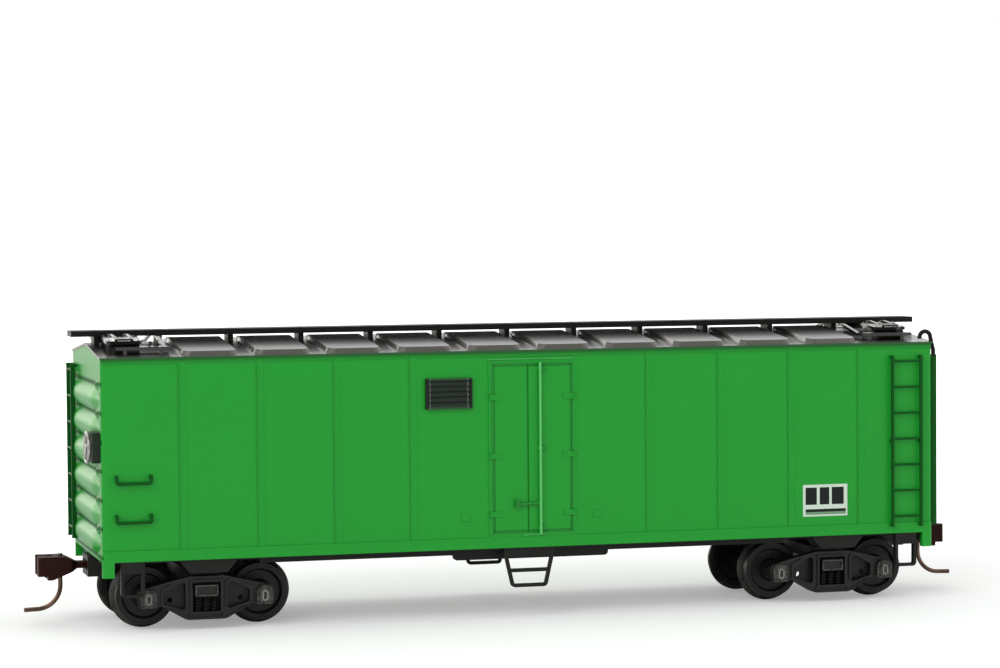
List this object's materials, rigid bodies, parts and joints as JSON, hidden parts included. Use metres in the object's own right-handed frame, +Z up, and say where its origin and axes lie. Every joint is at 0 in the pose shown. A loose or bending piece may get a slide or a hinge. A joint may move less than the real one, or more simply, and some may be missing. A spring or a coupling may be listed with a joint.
{
  "type": "model refrigerator freight car, 1:87 scale",
  "caption": "Model railway refrigerator car: box body with hatches, ladders, running board and swing doors on swivelling trucks, with knuckle couplers at its ends.",
  "frame": {"origin": "bottom centre of the car, on the floor under the wheel flanges, midway between the trucks", "axes": "+X along the track towards the plain end, +Y across the car, +Z up"},
  "size_m": [0.1666, 0.0366, 0.049],
  "materials": {
    "body_green": "satin",
    "roof_black": "satin",
    "trim_black": "matte",
    "bronze_wire": "satin",
    "coupler_brown": "matte",
    "bright_steel": "satin",
    "wheel_black": "satin",
    "axle_black": "satin"
  },
  "bodies": {
    "car_body": {"air_reservoir": "trim_black", "board_saddles": "roof_black", "brake_cylinder": "trim_black", "brake_housing": "trim_black", "brake_wheel": "trim_black", "centre_steps": "trim_black", "control_valve": "trim_black", "corner_steps_minus": "trim_black", "corner_steps_plus": "trim_black", "coupler_box_minus": "trim_black", "coupler_box_plus": "trim_black", "door_lock_far": "body_green", "door_lock_near": "body_green", "doors_far": "body_green", "doors_near": "body_green", "end_brake": "body_green", "end_ladder_brake": "body_green", "end_ladder_plain": "body_green", "end_plain": "body_green", "grab_irons_far": "body_green", "grab_irons_near": "body_green", "hatch_platforms_minus": "roof_black", "hatch_platforms_plus": "roof_black", "ice_hatch_far_minus": "roof_black", "ice_hatch_far_plus": "roof_black", "ice_hatch_near_minus": "roof_black", "ice_hatch_near_plus": "roof_black", "louvre_far": "trim_black", "louvre_near": "trim_black", "roof": "roof_black", "roof_grabs": "roof_black", "running_board": "roof_black", "side_far": "body_green", "side_ladder_far": "body_green", "side_ladder_near": "body_green", "side_near": "body_green", "steel_weight": "bright_steel", "truck_screw_minus": "bright_steel", "truck_screw_plus": "bright_steel", "underframe": "trim_black"},
    "truck_plus": {"truck_frame_plus": "trim_black"},
    "wheelset_plus_outer": {"axle_plus_outer": "axle_black", "wheels_plus_outer": "wheel_black"},
    "wheelset_plus_inner": {"axle_plus_inner": "axle_black", "wheels_plus_inner": "wheel_black"},
    "coupler_plus": {"coupler_plus": "coupler_brown", "trip_pin_plus": "bronze_wire"},
    "truck_minus": {"truck_frame_minus": "trim_black"},
    "wheelset_minus_outer": {"axle_minus_outer": "axle_black", "wheels_minus_outer": "wheel_black"},
    "wheelset_minus_inner": {"axle_minus_inner": "axle_black", "wheels_minus_inner": "wheel_black"},
    "coupler_minus": {"coupler_minus": "coupler_brown", "trip_pin_minus": "bronze_wire"}
  },
  "joints": [
    {"name": "truck_swivel_plus", "type": "hinge", "parent": "car_body", "child": "truck_plus", "pos_m": [0.055, 0, 0.0094], "axis": [0, 0, 1], "range_deg": [-12, 12]},
    {"name": "wheelset_spin_plus_outer", "type": "hinge", "parent": "truck_plus", "child": "wheelset_plus_outer", "pos_m": [0.06465, 0, 0.00545], "axis": [0, 1, 0], "continuous": true},
    {"name": "wheelset_spin_plus_inner", "type": "hinge", "parent": "truck_plus", "child": "wheelset_plus_inner", "pos_m": [0.04535, 0, 0.00545], "axis": [0, 1, 0], "continuous": true},
    {"name": "coupler_swing_plus", "type": "hinge", "parent": "car_body", "child": "coupler_plus", "pos_m": [0.0662, 0, 0.00995], "axis": [0, 0, 1], "range_deg": [-10, 10], "stiffness_Nm_per_rad": 0.0005},
    {"name": "truck_swivel_minus", "type": "hinge", "parent": "car_body", "child": "truck_minus", "pos_m": [-0.055, 0, 0.0094], "axis": [0, 0, 1], "range_deg": [-12, 12]},
    {"name": "wheelset_spin_minus_outer", "type": "hinge", "parent": "truck_minus", "child": "wheelset_minus_outer", "pos_m": [-0.06465, 0, 0.00545], "axis": [0, 1, 0], "continuous": true},
    {"name": "wheelset_spin_minus_inner", "type": "hinge", "parent": "truck_minus", "child": "wheelset_minus_inner", "pos_m": [-0.04535, 0, 0.00545], "axis": [0, 1, 0], "continuous": true},
    {"name": "coupler_swing_minus", "type": "hinge", "parent": "car_body", "child": "coupler_minus", "pos_m": [-0.0662, 0, 0.00995], "axis": [0, 0, 1], "range_deg": [-10, 10], "stiffness_Nm_per_rad": 0.0005}
  ]
}
